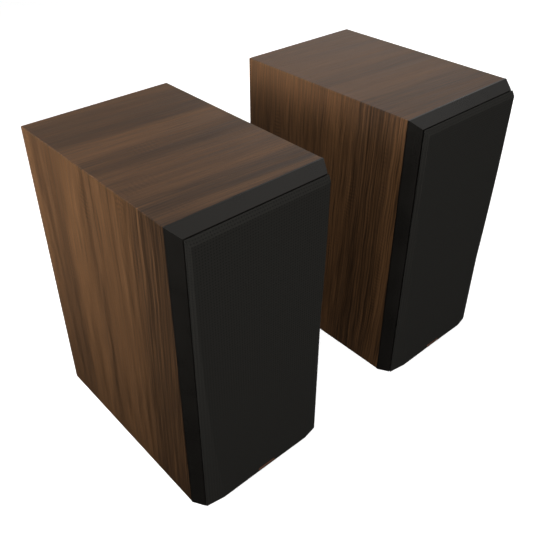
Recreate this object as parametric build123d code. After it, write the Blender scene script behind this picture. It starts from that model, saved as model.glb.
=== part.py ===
from build123d import *
import math
import os

# A pair of two-way bookshelf loudspeakers, in millimetres.
# X runs along the pair, -Y is the front that faces the listener, +Z is up.
# The origin is at the bottom centre of the pair's bounding box.
# Each loudspeaker is built in its own frame first: x = 0 at its middle, y = 0 where the wooden
# cabinet meets the black baffle, z = 0 at the base. A depth is counted back from the baffle's face.

# Driving dimensions: cabinet
WIDTH = 202.2
HEIGHT = 400.0
WOOD_DEPTH = 284.7
WALL = 15.0
REAR_INSET = 3.0
SPACING = 343.6
# Front baffle: a short square lip, then a bevel at the top and the sides
LIP = 2.2
BEVEL_DEPTH = 14.8
BEVEL_SIDE = 8.7
BEVEL_TOP = 8.8
BAFFLE_THICK = LIP + BEVEL_DEPTH
BAFFLE_FACE = -BAFFLE_THICK
# Grille: an undercut back edge that leaves a shadow line, then facets that rise to a flat front
GRILLE_GAP = 1.0
RIM_HEIGHT = 1.1
UNDERCUT = 1.2
GRILLE_RISE = 6.1
GRILLE_BACK = BAFFLE_FACE - GRILLE_GAP
GRILLE_RIM = GRILLE_BACK - RIM_HEIGHT
GRILLE_FRONT = GRILLE_RIM - GRILLE_RISE
RIM_BOTTOM = 0.8
CREASE_BOTTOM = 4.0
CREASE_TOP = 385.0
CREASE_HALF = 89.5
CREASE_BEND_Z = 350.0
CREASE_BEND = 1.85e-4
CLOTH = 0.5
BADGE_LENGTH = 27.0
BADGE_HEIGHT = 4.2
BADGE_THICK = 0.8
BADGE_Z = CREASE_BOTTOM + 3.9
MAGNET_RADIUS = 5.0
MAGNET_HEIGHT = 2.4
MAGNET_SUNK = 1.5
MAGNET_GAP = 0.1
MAGNET_X = 83.0
MAGNET_HEIGHTS = (14.0, 212.0, 380.0)
# Woofer: radii, and depths behind the baffle's face
WOOFER_Z = 118.0
WOOFER_FLANGE = 83.7
WOOFER_SEAT = 5.0
WOOFER_OPENING = 73.0
WOOFER_SCREW_RADIUS = 78.5
BASKET_BACK = 61.0
SPIDER_LEDGE = 47.2
CONE_NECK = 19.0
CONE_BACK = 32.0
COIL_FORMER = 18.9
WOOFER_MOTOR_THICK = (6.0, 15.0, 6.0)
# Tweeter
TWEETER_Z = 292.0
TWEETER_FLANGE = 65.0
TWEETER_SEAT = 4.0
TWEETER_OPENING = 50.0
TWEETER_SCREW_RADIUS = 60.0
TWEETER_PLATE_BACK = 22.0
TWEETER_MOTOR_THICK = (4.0, 10.0, 4.0)
FLUSH = 0.3
FIT = 0.2
# Screws of the drivers and of the terminal plate
SCREW_RADIUS = 1.75
SCREW_HEAD = 3.6
SCREW_HEAD_HEIGHT = 2.0
SCREW_LENGTH = 14.0
SCREW_HEAD_ROOM = 0.3
# Port
PORT_Z = 285.0
PORT_BORE = 24.0
PORT_WALL = 2.5
PORT_LENGTH = 110.0
PORT_FLARE = 9.0
PORT_FLANGE = 38.0
# Terminals: two binding posts on a plate, with places along Y from the plate's face
TERMINAL_Z = 105.0
TERMINAL_PLATE = (78.0, 54.0, 6.0)
TERMINAL_BOSS = (47.6, 27.6, 6.0)
TERMINAL_SCREW_X = 33.0
TERMINAL_SCREW_Z = 21.0
POST_PITCH = 19.05
POST_REACH = 20.0
STUD_RADIUS = 4.0
SOCKET_RADIUS = 2.0
SOCKET_DEPTH = 15.5
BASE_RADIUS = 6.5
BASE_THICK = 2.0
WIRE_HOLE_RADIUS = 1.3
WIRE_HOLE_PLACE = 3.7
NUT_RADIUS = 6.8
NUT_THICK = 3.2
COLLAR_RADIUS = 7.0
COLLAR_START = 2.2
COLLAR_END = 4.2
CAP_RADIUS = 7.6
CAP_START = 4.4
CAP_END = 19.6
FLUTE_RADIUS = 1.0
FLUTE_CIRCLE = 8.1
FLUTES = 12
THREAD_CLEARANCE = 0.1
# Inside
BOARD_THICK = 1.6
BOARD_TOP = WALL + 5.6
LEAD_RADIUS = 1.2
WADDING_THICK = 12.0
WADDING_GAP = 0.5

REAR_FACE = WOOD_DEPTH - REAR_INSET
REAR_INSIDE = REAR_FACE - WALL
PLATE_FACE = REAR_FACE + REAR_INSET
STUD_START = REAR_FACE - 12.0
STUD_END = PLATE_FACE + POST_REACH
FRONT_MOST = GRILLE_FRONT - BADGE_THICK
Y_SHIFT = -(FRONT_MOST + STUD_END) / 2
FRONT_SCREW_SEAT = BAFFLE_FACE + 0.4
REAR_SCREW_SEAT = PLATE_FACE + 1.2
# How far a cutting shape runs past the face that it cuts
PAST = 1.0


# Helpers -----------------------------------------------------------------------------------------

def box(x0, x1, y0, y1, z0, z1):
    """A block between two opposite corners."""
    return Pos((x0 + x1) / 2, (y0 + y1) / 2, (z0 + z1) / 2) * Box(x1 - x0, y1 - y0, z1 - z0)


def polygon(points, plane):
    """A flat face through the points, on the plane."""
    return plane * make_face(Polyline(*points, close=True))


def turned(profile, z, y0=BAFFLE_FACE):
    """A ring about the Y axis at height z: profile points are (radius, depth behind y0)."""
    face = make_face(Polyline(*profile, close=True))
    return Pos(0, y0, z) * revolve(face, axis=Axis.Y)


def rod(radius, x, z, y0, y1):
    """A round bar along Y."""
    bar = Cylinder(radius, y1 - y0, align=(Align.CENTER, Align.CENTER, Align.MIN))
    return Pos(x, y0, z) * (Rot(-90, 0, 0) * bar)


def tube(outer, inner, x, z, y0, y1):
    """A round tube along Y."""
    return rod(outer, x, z, y0, y1) - rod(inner, x, z, y0 - PAST, y1 + PAST)


def group(solids):
    """Separate solids that share one node."""
    return Compound([s for item in solids for s in item.solids()])


def ring_places(radius, z, count, start):
    """(x, z) of count places on a circle about (0, z)."""
    angles = [math.radians(start + 360 * k / count) for k in range(count)]
    return [(radius * math.cos(a), z + radius * math.sin(a)) for a in angles]


def domed_shell(radius, rise, skin, edge, z):
    """A thin spherical cap that bulges forward, whose edge is at the depth edge."""
    ball = (radius ** 2 + rise ** 2) / (2 * rise)
    middle = Pos(0, BAFFLE_FACE + edge - rise + ball, z)
    shell = middle * (Sphere(ball) - Sphere(ball - skin))
    return shell & rod(radius, 0, z, BAFFLE_FACE, BAFFLE_FACE + edge)


WOOFER_SCREWS = ring_places(WOOFER_SCREW_RADIUS, WOOFER_Z, 4, 45)
TWEETER_SCREWS = ring_places(TWEETER_SCREW_RADIUS, TWEETER_Z, 4, 45)
TERMINAL_SCREWS = [(sx * TERMINAL_SCREW_X, TERMINAL_Z + sz * TERMINAL_SCREW_Z)
                   for sx in (-1, 1) for sz in (-1, 1)]
MAGNET_PLACES = [(side * MAGNET_X, z) for side in (-1, 1) for z in MAGNET_HEIGHTS]
POSTS = {"red": POST_PITCH / 2, "black": -POST_PITCH / 2}


# Cabinet -----------------------------------------------------------------------------------------

def mitred_panel(length):
    """A wall panel lying flat, its outer face at z = 0 and both ends mitred at 45 degrees."""
    half = length / 2
    section = [(-half, 0), (half, 0), (half - WALL, WALL), (-half + WALL, WALL)]
    return extrude(polygon(section, Plane.XZ), -WOOD_DEPTH)


def cabinet_top_and_base():
    base = mitred_panel(WIDTH)
    top = Pos(0, 0, HEIGHT) * (Rot(0, 180, 0) * base)
    return group([base, top])


def cabinet_sides():
    panel = mitred_panel(HEIGHT)
    left = Pos(-WIDTH / 2, 0, HEIGHT / 2) * (Rot(0, 90, 0) * panel)
    right = Pos(WIDTH / 2, 0, HEIGHT / 2) * (Rot(0, -90, 0) * panel)
    return group([left, right])


def rear_panel():
    """The board between the walls, with a hole for the port and a slot for the terminals."""
    inner_half = WIDTH / 2 - WALL
    slot_half, slot_high = TERMINAL_BOSS[0] / 2 + FIT, TERMINAL_BOSS[1] / 2 + FIT
    start, end = REAR_INSIDE - PAST, REAR_FACE + PAST
    panel = box(-inner_half, inner_half, REAR_INSIDE, REAR_FACE, WALL, HEIGHT - WALL)
    panel -= rod(PORT_BORE + PORT_WALL, 0, PORT_Z, start, end)
    panel -= box(-slot_half, slot_half, start, end, TERMINAL_Z - slot_high, TERMINAL_Z + slot_high)
    for x, z in TERMINAL_SCREWS:
        panel -= rod(SCREW_RADIUS, x, z, REAR_SCREW_SEAT - SCREW_LENGTH, end)
    return panel


def driver_cutout(flange, seat, opening, z):
    """What a driver's flange recess and its opening take out of the baffle."""
    through = BAFFLE_THICK + PAST
    profile = [(0, -PAST), (flange + FIT, -PAST), (flange + FIT, seat), (opening, seat),
               (opening, through), (0, through)]
    return turned(profile, z)


def front_baffle():
    """The black board: a square lip that covers the walls' front edges, then its bevels."""
    half = WIDTH / 2
    face_half, face_top = half - BEVEL_SIDE, HEIGHT - BEVEL_TOP
    foot = [(-half, 0), (half, 0), (half, HEIGHT), (-half, HEIGHT)]
    front = [(-face_half, 0), (face_half, 0), (face_half, face_top), (-face_half, face_top)]
    at_lip = polygon(foot, Plane.XZ.offset(LIP))
    at_face = polygon(front, Plane.XZ.offset(BAFFLE_THICK))
    board = box(-half, half, -LIP, 0, 0, HEIGHT) + loft([at_lip, at_face], ruled=True)
    board -= driver_cutout(WOOFER_FLANGE, WOOFER_SEAT, WOOFER_OPENING, WOOFER_Z)
    board -= driver_cutout(TWEETER_FLANGE, TWEETER_SEAT, TWEETER_OPENING, TWEETER_Z)
    for x, z in MAGNET_PLACES:
        board -= rod(MAGNET_RADIUS, x, z, BAFFLE_FACE - PAST, BAFFLE_FACE + MAGNET_HEIGHT)
    for x, z in WOOFER_SCREWS + TWEETER_SCREWS:
        board -= rod(SCREW_RADIUS, x, z, BAFFLE_FACE, FRONT_SCREW_SEAT + SCREW_LENGTH)
    return board


# Grille ------------------------------------------------------------------------------------------

def crease_half(z):
    """Half the width of the grille's flat front at height z: it narrows in an arc towards the base."""
    return CREASE_HALF - CREASE_BEND * max(0.0, CREASE_BEND_Z - z) ** 2


def rim_outline(inset, plane):
    """The outline of the grille's back edge, drawn in by inset, with corners at the crease's bend."""
    half = WIDTH / 2 - BEVEL_SIDE - inset
    low, high = RIM_BOTTOM + inset, HEIGHT - BEVEL_TOP - inset
    return polygon([(-half, low), (half, low), (half, CREASE_BEND_Z),
                    (half, high), (-half, high), (-half, CREASE_BEND_Z)], plane)


def grille_form(inset):
    """The grille's outer shape, drawn in by inset at every face but the back."""
    back_face = rim_outline(inset + UNDERCUT, Plane.XZ.offset(-GRILLE_BACK))
    rim_face = rim_outline(inset, Plane.XZ.offset(-GRILLE_RIM))
    bottom, top = CREASE_BOTTOM + inset / 2, CREASE_TOP - inset / 2
    middle = (bottom + CREASE_BEND_Z) / 2
    narrow, waist, wide = [crease_half(z) - inset / 2 for z in (bottom, middle, CREASE_BEND_Z)]
    outline = [
        Line((-narrow, bottom), (narrow, bottom)),
        ThreePointArc((narrow, bottom), (waist, middle), (wide, CREASE_BEND_Z)),
        Line((wide, CREASE_BEND_Z), (wide, top)),
        Line((wide, top), (-wide, top)),
        Line((-wide, top), (-wide, CREASE_BEND_Z)),
        ThreePointArc((-wide, CREASE_BEND_Z), (-waist, middle), (-narrow, bottom)),
    ]
    flat = Plane.XZ.offset(-GRILLE_FRONT - inset) * make_face(outline)
    return loft([back_face, rim_face], ruled=True) + loft([rim_face, flat], ruled=True)


def grille_frame():
    """The stiff frame under the cloth, with a window for each driver and a bar between them."""
    foot_half, waist_half, head_half, tweeter_half = 57, 71, 74, 76
    woofer_low, woofer_high, tweeter_low, tweeter_high = 16, 204, 222, 372
    woofer_window = [(-foot_half, woofer_low), (foot_half, woofer_low), (waist_half, WOOFER_Z),
                     (head_half, woofer_high), (-head_half, woofer_high), (-waist_half, WOOFER_Z)]
    tweeter_window = [(-tweeter_half, tweeter_low), (tweeter_half, tweeter_low),
                      (tweeter_half, tweeter_high), (-tweeter_half, tweeter_high)]
    frame = grille_form(CLOTH)
    through = RIM_HEIGHT + GRILLE_RISE + 2 * PAST
    for window in (woofer_window, tweeter_window):
        frame -= extrude(polygon(window, Plane.XZ.offset(-GRILLE_BACK - PAST)), through)
    for x, z in MAGNET_PLACES:
        frame -= rod(MAGNET_RADIUS, x, z, GRILLE_BACK - MAGNET_SUNK, GRILLE_BACK + PAST)
    return frame


def grille_cloth():
    return grille_form(0) - grille_form(CLOTH)


def grille_badge():
    bar = extrude(Plane.XZ * SlotOverall(BADGE_LENGTH, BADGE_HEIGHT), BADGE_THICK)
    return Pos(0, GRILLE_FRONT, BADGE_Z) * bar


def magnets(start, end):
    """Round magnets at all the magnet places, from y = start to y = end."""
    return group([rod(MAGNET_RADIUS, x, z, start, end) for x, z in MAGNET_PLACES])


# Drivers: profiles are (radius, depth) -------------------------------------------------------------

def sink_screws(plate, places):
    """Takes the room for each screw's head and shank out of a driver's flange."""
    for x, z in places:
        head_end = FRONT_SCREW_SEAT + SCREW_HEAD_HEIGHT
        plate -= rod(SCREW_HEAD + SCREW_HEAD_ROOM, x, z, BAFFLE_FACE, head_end)
        plate -= rod(SCREW_RADIUS, x, z, BAFFLE_FACE, BAFFLE_FACE + WOOFER_SEAT + PAST)
    return plate


def woofer_basket():
    """A cast basket: flange, six ribs between windows, the spider's ledge and the motor's seat."""
    rim, seat, ledge, back = 74, 12, SPIDER_LEDGE, BASKET_BACK
    skin, throat = 2.5, 30
    profile = [(rim, FLUSH), (WOOFER_FLANGE, FLUSH), (WOOFER_FLANGE, WOOFER_SEAT),
               (72.5, WOOFER_SEAT), (72.5, seat), (50, 47), (45, back),
               (throat, back), (throat, back - skin), (41.5, back - skin), (43.5, ledge + 2),
               (38.5, ledge + 2), (38.5, ledge), (45, ledge),
               (66, seat), (66, WOOFER_SEAT), (rim, WOOFER_SEAT)]
    basket = turned(profile, WOOFER_Z)
    ribs, window_half, window_start, window_end = 6, 17, 15, 43
    for k in range(ribs):
        window = box(-window_half, window_half, BAFFLE_FACE + window_start,
                     BAFFLE_FACE + window_end, 40, 90)
        basket -= Pos(0, 0, WOOFER_Z) * (Rot(0, 360 * k / ribs, 0) * window)
    return sink_screws(basket, WOOFER_SCREWS)


def motor(z, start, bore, pole, magnet, plates, thick):
    """Top plate, ring magnet, and back plate with its pole. bore and pole are the radii of the gap
    for the voice coil, magnet its inner and outer radius, plates the outer radii of the top and the
    back plate, and thick the thicknesses of the top plate, the magnet and the back plate."""
    magnet_start = start + thick[0]
    magnet_end = magnet_start + thick[1]
    back = magnet_end + thick[2]
    inner, outer = magnet
    top_edge, back_edge = plates
    top_plate = [(bore, start), (top_edge, start), (top_edge, magnet_start), (bore, magnet_start)]
    ring = [(inner, magnet_start), (outer, magnet_start), (outer, magnet_end), (inner, magnet_end)]
    yoke = [(0, start), (pole, start), (pole, magnet_end), (back_edge, magnet_end),
            (back_edge, back), (0, back)]
    return group([turned(profile, z) for profile in (top_plate, ring, yoke)])


def woofer_motor():
    return motor(WOOFER_Z, BASKET_BACK, bore=20, pole=17.8, magnet=(24, 48), plates=(45, 46),
                 thick=WOOFER_MOTOR_THICK)


def woofer_cone():
    """A thin cone in two steps of slope, from its neck out to the surround's inner lip."""
    middle_radius, middle, edge, front, skin = 40, 19, 59, 4.9, 1.0
    return turned([(CONE_NECK, CONE_BACK - 1.2), (middle_radius, middle), (edge, front),
                   (edge, front + skin), (middle_radius, middle + skin), (CONE_NECK, CONE_BACK)],
                  WOOFER_Z)


def woofer_dust_cap():
    return domed_shell(radius=24, rise=8, skin=0.5, edge=26.9, z=WOOFER_Z)


def woofer_surround():
    """A half-round roll between the lips that are glued to the basket and to the cone."""
    inner, outer, lip, skin, steps = 58.8, 68.6, 4.2, 0.7, 12
    middle, big = (inner + outer) / 2, (outer - inner) / 2
    small = big - skin
    angles = [math.pi * k / steps for k in range(steps + 1)]
    crown = [(middle - big * math.cos(a), lip - big * math.sin(a)) for a in angles]
    under = [(middle + small * math.cos(a), lip - small * math.sin(a)) for a in angles]
    outer_lip = [(73.6, lip), (73.6, lip + skin), (outer - skin, lip + skin)]
    inner_lip = [(inner + skin, lip + 0.5), (55, lip + 0.5), (55, lip)]
    return turned(crown + outer_lip + under + inner_lip, WOOFER_Z)


def woofer_spider():
    """A corrugated disc from the voice coil out to its flat lip on the basket's ledge."""
    inner, outer, lip, waves, swing, skin = COIL_FORMER + 0.4, 37.0, 43.0, 4, 1.2, 0.5
    count = waves * 8
    top = []
    for k in range(count + 1):
        depth = SPIDER_LEDGE - skin - swing * math.sin(2 * math.pi * waves * k / count)
        top.append((inner + (outer - inner) * k / count, depth))
    top.append((lip, SPIDER_LEDGE - skin))
    under = [(r, t + skin) for r, t in reversed(top)]
    return turned(top + under, WOOFER_Z)


def woofer_coil():
    """The former from the cone's neck into the gap, with the winding at its end."""
    skin, winding, winding_start, end = 0.5, 0.5, 58, 70
    former, start = COIL_FORMER, CONE_BACK - 1.2
    profile = [(former - skin, start), (former, start), (former, winding_start),
               (former + winding, winding_start), (former + winding, end), (former - skin, end)]
    return turned(profile, WOOFER_Z)


def tweeter_plate():
    """A flat flange with a short flared mouth, and the seat of the motor behind it."""
    horn = [(14.2, 15), (17, 9.5), (24, 5), (35, 2.2), (52, 0.8), (56, FLUSH)]
    boss, dome_seat, throat = 34, 15, 16
    flange = [(TWEETER_FLANGE, FLUSH), (TWEETER_FLANGE, TWEETER_SEAT), (49.5, TWEETER_SEAT),
              (44, 7), (boss, 12), (boss, TWEETER_PLATE_BACK), (dome_seat, TWEETER_PLATE_BACK),
              (dome_seat, throat), (14.2, throat)]
    return sink_screws(turned(horn + flange, TWEETER_Z), TWEETER_SCREWS)


def tweeter_dome():
    """A 25 mm dome with its flat rim, and the coil former behind it."""
    radius, rim_start, rim_end, rim_radius, former, end = 12.6, 19.6, 20.1, 14.6, 12.2, 25
    cap = domed_shell(radius, rise=5, skin=0.4, edge=20, z=TWEETER_Z)
    skirt = turned([(12.0, rim_start), (rim_radius, rim_start), (rim_radius, rim_end),
                    (radius, rim_end), (radius, end), (former, end), (former, rim_end)], TWEETER_Z)
    return cap + skirt


def tweeter_motor():
    return motor(TWEETER_Z, TWEETER_PLATE_BACK, bore=13.2, pole=11.6, magnet=(17, 34),
                 plates=(32, 32), thick=TWEETER_MOTOR_THICK)


# Rear --------------------------------------------------------------------------------------------

def port_tube():
    """A straight tube with a rounded mouth in a flange on the rear face."""
    outer, lip, steps = PORT_BORE + PORT_WALL, REAR_INSET, 6
    arc = [math.pi / 2 * k / steps for k in range(steps + 1)]
    mouth = [(PORT_BORE + PORT_FLARE * (1 - math.cos(a)), PORT_FLARE * (1 - math.sin(a)) - lip)
             for a in arc]
    profile = [(PORT_BORE, PORT_LENGTH)] + mouth + [
        (PORT_FLANGE, -lip), (PORT_FLANGE, 0), (outer, 0), (outer, PORT_LENGTH)]
    body = revolve(make_face(Polyline(*profile, close=True)), axis=Axis.Y)
    return Pos(0, REAR_FACE, PORT_Z) * (Rot(0, 0, 180) * body)


def terminal_plate():
    """A plate on the rear face, with a boss through the panel and holes for studs and screws."""
    length, height, corner = TERMINAL_PLATE
    boss_half, boss_high, boss_depth = TERMINAL_BOSS[0] / 2, TERMINAL_BOSS[1] / 2, TERMINAL_BOSS[2]
    plate = extrude(Plane.XZ * RectangleRounded(length, height, corner), -REAR_INSET)
    plate = Pos(0, REAR_FACE, TERMINAL_Z) * plate
    plate += box(-boss_half, boss_half, REAR_FACE - boss_depth, REAR_FACE,
                 TERMINAL_Z - boss_high, TERMINAL_Z + boss_high)
    end = PLATE_FACE + PAST
    for x in POSTS.values():
        plate -= rod(STUD_RADIUS, x, TERMINAL_Z, REAR_INSIDE, end)
    for x, z in TERMINAL_SCREWS:
        seat = REAR_SCREW_SEAT - SCREW_HEAD_HEIGHT
        plate -= rod(SCREW_HEAD + SCREW_HEAD_ROOM, x, z, seat, end)
        plate -= rod(SCREW_RADIUS, x, z, REAR_FACE - PAST, end)
    return plate


def screw(x, z, seat, facing):
    """A pan-head wood screw along Y; facing is -1 for a head at the front, 1 at the rear."""
    head_end = seat - facing * SCREW_HEAD_HEIGHT
    tip = seat - facing * SCREW_LENGTH
    head = rod(SCREW_HEAD, x, z, min(seat, head_end), max(seat, head_end))
    shank = rod(SCREW_RADIUS, x, z, min(head_end, tip), max(head_end, tip))
    return head + shank


def panel_screws():
    front = [screw(x, z, FRONT_SCREW_SEAT, -1) for x, z in WOOFER_SCREWS + TWEETER_SCREWS]
    rear = [screw(x, z, REAR_SCREW_SEAT, 1) for x, z in TERMINAL_SCREWS]
    return group(front + rear)


def binding_posts():
    """Two threaded studs with their base flanges, sockets and wire holes, and the nuts inside."""
    solids = []
    for x in POSTS.values():
        stud = rod(STUD_RADIUS, x, TERMINAL_Z, STUD_START, STUD_END)
        stud += rod(BASE_RADIUS, x, TERMINAL_Z, PLATE_FACE, PLATE_FACE + BASE_THICK)
        stud -= rod(SOCKET_RADIUS, x, TERMINAL_Z, STUD_END - SOCKET_DEPTH, STUD_END + PAST)
        wire_hole = Cylinder(WIRE_HOLE_RADIUS, 4 * STUD_RADIUS)
        stud -= Pos(x, PLATE_FACE + WIRE_HOLE_PLACE, TERMINAL_Z) * wire_hole
        nut = extrude(Plane.XZ * RegularPolygon(NUT_RADIUS, 6), NUT_THICK)
        nut = Pos(x, REAR_FACE - TERMINAL_BOSS[2], TERMINAL_Z) * nut
        nut -= rod(STUD_RADIUS, x, TERMINAL_Z, STUD_START, REAR_FACE)
        solids += [stud, nut]
    return group(solids)


def collar(x):
    """The flat ring that clamps a wire. It slides on the stud and doesn't turn."""
    return tube(COLLAR_RADIUS, STUD_RADIUS + THREAD_CLEARANCE, x, TERMINAL_Z,
                PLATE_FACE + COLLAR_START, PLATE_FACE + COLLAR_END)


def cap(x):
    """The fluted cap that screws along the stud and pushes the collar."""
    start, end = PLATE_FACE + CAP_START, PLATE_FACE + CAP_END
    plain_band = 2.5
    body = tube(CAP_RADIUS, STUD_RADIUS + THREAD_CLEARANCE, x, TERMINAL_Z, start, end)
    for flute_x, flute_z in ring_places(FLUTE_CIRCLE, TERMINAL_Z, FLUTES, 0):
        body -= rod(FLUTE_RADIUS, x + flute_x, flute_z, start + plain_band, end + PAST)
    return body


# Inside ------------------------------------------------------------------------------------------

def upright_coil(outer, inner, height, x, y):
    coil = Cylinder(outer, height) - Cylinder(inner, height + 2 * PAST)
    return Pos(x, y, BOARD_TOP + height / 2) * coil


def crossover():
    """The filter board on its standoffs, with two coils, three capacitors and two resistors."""
    board_half, board_front, board_rear = 52, 112, 224
    underside, foot_half, foot_inset = BOARD_TOP - BOARD_THICK, 3, 6
    board = box(-board_half, board_half, board_front, board_rear, underside, BOARD_TOP)
    foot_x = board_half - foot_inset
    standoffs = [box(x - foot_half, x + foot_half, y - foot_half, y + foot_half, WALL, underside)
                 for x in (-foot_x, foot_x)
                 for y in (board_front + foot_inset, board_rear - foot_inset)]
    coils = [upright_coil(18, 9, 16, -31, 202), upright_coil(14, 7, 13, -33, 158)]
    capacitors = [rod(radius, x, BOARD_TOP + radius, start, end)
                  for radius, x, start, end in ((8, 24, 160, 200), (7, 42, 160, 196),
                                                (5.5, 38, 120, 144))]
    half, height = 4.5, 9
    resistors = [box(x - half, x + half, 116, 138, BOARD_TOP, BOARD_TOP + height)
                 for x in (-42, -28)]
    return group([board] + standoffs + coils + capacitors + resistors)


def lead(points):
    """One insulated lead along the points, each corner rounded as widely as its runs allow."""
    corners = [Vector(*p) for p in points]
    radii = []
    for before, corner, after in zip(corners, corners[1:], corners[2:]):
        turn = math.radians((corner - before).get_angle(after - corner))
        shorter = min((corner - before).length, (after - corner).length)
        radii.append(0.45 * shorter / math.tan(turn / 2))
    print("lead radii", [round(r, 1) for r in radii])
    path = FilletPolyline(*points, radius=radii)
    section = Plane(origin=path @ 0, z_dir=path % 0) * Circle(LEAD_RADIUS)
    return sweep(section, path)


def wiring():
    """Two leads each from the posts to the board, and from the board to the woofer and tweeter."""
    woofer_back = BAFFLE_FACE + BASKET_BACK + sum(WOOFER_MOTOR_THICK)
    tweeter_back = BAFFLE_FACE + TWEETER_PLATE_BACK + sum(TWEETER_MOTOR_THICK)
    leads = []
    for side in (-1, 1):
        x, wide = side * POST_PITCH / 2, side * 17
        leads.append(lead([(x, STUD_START, TERMINAL_Z), (x, 236, TERMINAL_Z),
                           (x, 212, 68), (x, 212, BOARD_TOP)]))
        leads.append(lead([(x, 150, BOARD_TOP), (x, 150, 52), (x, 112, 88), (x, woofer_back, 88)]))
        leads.append(lead([(wide, 130, BOARD_TOP), (wide, 130, 90), (wide, 108, 200),
                           (wide, 68, 285), (wide, tweeter_back, 285)]))
    return group(leads)


def wadding():
    """A soft sheet folded against both side walls and the top."""
    front, rear, low = 100, 262, 60
    out, high = WIDTH / 2 - WALL - WADDING_GAP, HEIGHT - WALL - WADDING_GAP
    sheet = box(-out, out, front, rear, low, high)
    return sheet - box(-out + WADDING_THICK, out - WADDING_THICK, front - PAST, rear + PAST,
                       low - PAST, high - WADDING_THICK)


# Both loudspeakers --------------------------------------------------------------------------------

def loudspeaker():
    """Every sub-part of one loudspeaker, by name, in the loudspeaker's own frame."""
    magnet_start = GRILLE_BACK - MAGNET_SUNK
    shapes = {
        "cabinet_top_and_base": cabinet_top_and_base(),
        "cabinet_sides": cabinet_sides(),
        "rear_panel": rear_panel(),
        "front_baffle": front_baffle(),
        "grille_frame": grille_frame(),
        "grille_cloth": grille_cloth(),
        "grille_badge": grille_badge(),
        "grille_magnets": magnets(magnet_start, BAFFLE_FACE - MAGNET_GAP),
        "baffle_magnets": magnets(BAFFLE_FACE, BAFFLE_FACE + MAGNET_HEIGHT),
        "woofer_basket": woofer_basket(),
        "woofer_motor": woofer_motor(),
        "woofer_cone": woofer_cone(),
        "woofer_dust_cap": woofer_dust_cap(),
        "woofer_surround": woofer_surround(),
        "woofer_spider": woofer_spider(),
        "woofer_coil": woofer_coil(),
        "tweeter_plate": tweeter_plate(),
        "tweeter_dome": tweeter_dome(),
        "tweeter_motor": tweeter_motor(),
        "panel_screws": panel_screws(),
        "port_tube": port_tube(),
        "terminal_plate": terminal_plate(),
        "binding_posts": binding_posts(),
        "crossover": crossover(),
        "wiring": wiring(),
        "wadding": wadding(),
    }
    for colour, x in POSTS.items():
        shapes["collar_" + colour] = collar(x)
        shapes["cap_" + colour] = cap(x)
    return shapes


os.makedirs("parts", exist_ok=True)
SHAPES = loudspeaker()
for side, x in (("left", -SPACING / 2), ("right", SPACING / 2)):
    for name, shape in SHAPES.items():
        export_step(Pos(x, Y_SHIFT, 0) * shape, f"parts/{side}_{name}.step")
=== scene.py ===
import math

import bmesh
import bpy
from mathutils import Matrix, Vector, noise


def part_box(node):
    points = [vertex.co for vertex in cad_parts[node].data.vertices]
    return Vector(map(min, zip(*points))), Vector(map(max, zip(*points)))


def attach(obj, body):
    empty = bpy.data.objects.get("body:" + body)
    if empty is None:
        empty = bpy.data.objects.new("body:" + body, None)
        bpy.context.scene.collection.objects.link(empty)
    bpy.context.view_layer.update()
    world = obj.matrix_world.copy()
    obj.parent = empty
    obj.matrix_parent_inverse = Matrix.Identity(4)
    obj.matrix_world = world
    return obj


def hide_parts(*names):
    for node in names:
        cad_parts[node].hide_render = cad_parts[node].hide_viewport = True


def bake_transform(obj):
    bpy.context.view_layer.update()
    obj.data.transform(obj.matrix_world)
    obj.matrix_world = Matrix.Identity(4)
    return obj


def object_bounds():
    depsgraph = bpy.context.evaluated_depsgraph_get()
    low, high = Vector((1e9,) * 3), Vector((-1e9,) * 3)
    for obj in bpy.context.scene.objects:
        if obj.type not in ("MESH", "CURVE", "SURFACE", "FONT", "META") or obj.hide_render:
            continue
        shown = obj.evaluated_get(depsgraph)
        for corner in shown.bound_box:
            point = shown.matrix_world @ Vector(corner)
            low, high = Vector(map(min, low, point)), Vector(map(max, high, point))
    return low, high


# The looks of a pair of bookshelf loudspeakers, in metres, with +Z up. Their fronts face -Y.

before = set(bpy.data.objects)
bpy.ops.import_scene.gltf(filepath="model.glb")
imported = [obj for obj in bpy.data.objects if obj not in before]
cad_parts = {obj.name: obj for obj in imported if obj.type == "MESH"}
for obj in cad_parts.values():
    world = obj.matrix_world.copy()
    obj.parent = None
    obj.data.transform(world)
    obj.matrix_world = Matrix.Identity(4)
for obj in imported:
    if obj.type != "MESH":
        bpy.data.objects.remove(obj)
cad_low, cad_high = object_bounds()
scene = bpy.context.scene
SIDES = ("left", "right")

# Sizes of the cabinet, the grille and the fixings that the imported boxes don't give
WALL = 0.015
GRILLE_RIM_HEIGHT = 0.0011
UNDERCUT = 0.0012
CREASE_BOTTOM = 0.004
CREASE_TOP = 0.385
CREASE_HALF = 0.0895
CREASE_BEND_Z = 0.350
CREASE_BEND = 0.185
CLOTH_THICK = 0.0005
HEM = 0.004
HEM_PROUD = 0.0001
WOOFER_SCREW_RADIUS = 0.0785
TWEETER_SCREW_RADIUS = 0.0600
TERMINAL_SCREW_X = 0.0330
TERMINAL_SCREW_Z = 0.0210
POST_PITCH = 0.01905
# Pitches of the patterns in the cloth and in the wood
KNIT_PITCH = 0.0034
RING_PITCH = 0.0046
RIPPLE_PITCH = 0.0055
# A point of a turned outline that is nearer than this to the axis lies on it
AXIS_RADIUS = 1e-6
# How much darker than its own colour a metal gets in places
METAL_SHIFT = 0.15


# ---- Mesh helpers ----

def add_piece(name, bm, materials, sharp_angle=32):
    """A new object from a bmesh, smooth shaded but for edges sharper than sharp_angle."""
    mesh = bpy.data.meshes.new(name)
    bm.normal_update()
    bm.to_mesh(mesh)
    bm.free()
    for material in materials:
        mesh.materials.append(material)
    mesh.shade_smooth()
    mesh.set_sharp_from_angle(angle=math.radians(sharp_angle))
    piece = bpy.data.objects.new(name, mesh)
    scene.collection.objects.link(piece)
    return piece


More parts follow.
